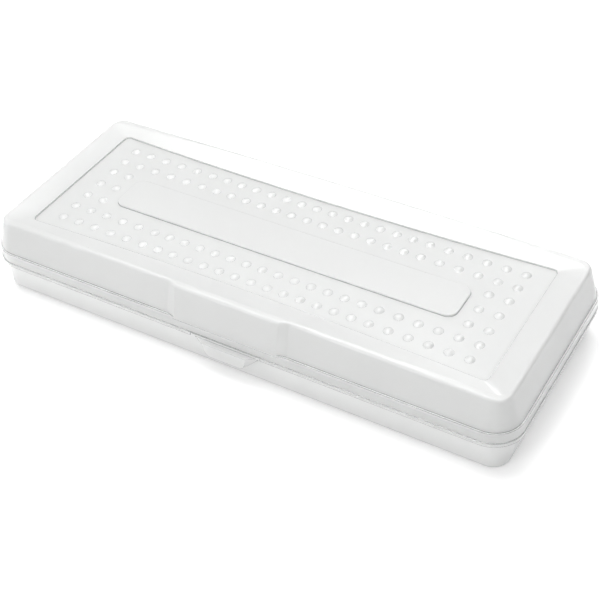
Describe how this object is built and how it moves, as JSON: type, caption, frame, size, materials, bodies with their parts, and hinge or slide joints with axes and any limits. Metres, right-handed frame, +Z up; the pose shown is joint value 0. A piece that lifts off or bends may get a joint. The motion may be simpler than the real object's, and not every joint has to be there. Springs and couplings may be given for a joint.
{
  "type": "pencil case",
  "caption": "Long shallow two-part frosted plastic pencil box with a hinged dotted-panel lid and a front snap latch.",
  "frame": {"origin": "middle of the tray's flat underside", "axes": "+X along the length, -Y towards the latch, +Z up"},
  "size_m": [0.337, 0.1424, 0.0481],
  "materials": {
    "tray_plastic": "frosted translucent",
    "lid_plastic": "frosted translucent",
    "tab_plastic": "frosted translucent"
  },
  "bodies": {
    "tray": {"base_tray": "tray_plastic"},
    "lid": {"lid": "lid_plastic"},
    "latch": {"latch_tab": "tab_plastic"}
  },
  "joints": [
    {"name": "lid_hinge", "type": "hinge", "parent": "tray", "child": "lid", "pos_m": [0, 0.06933, 0.0155], "axis": [-1, 0, 0], "range_deg": [0, 131]},
    {"name": "latch_flex", "type": "hinge", "parent": "lid", "child": "latch", "pos_m": [0, -0.06625, 0.0205], "axis": [-1, 0, 0], "range_deg": [0, 15], "stiffness_Nm_per_rad": 0.08}
  ]
}
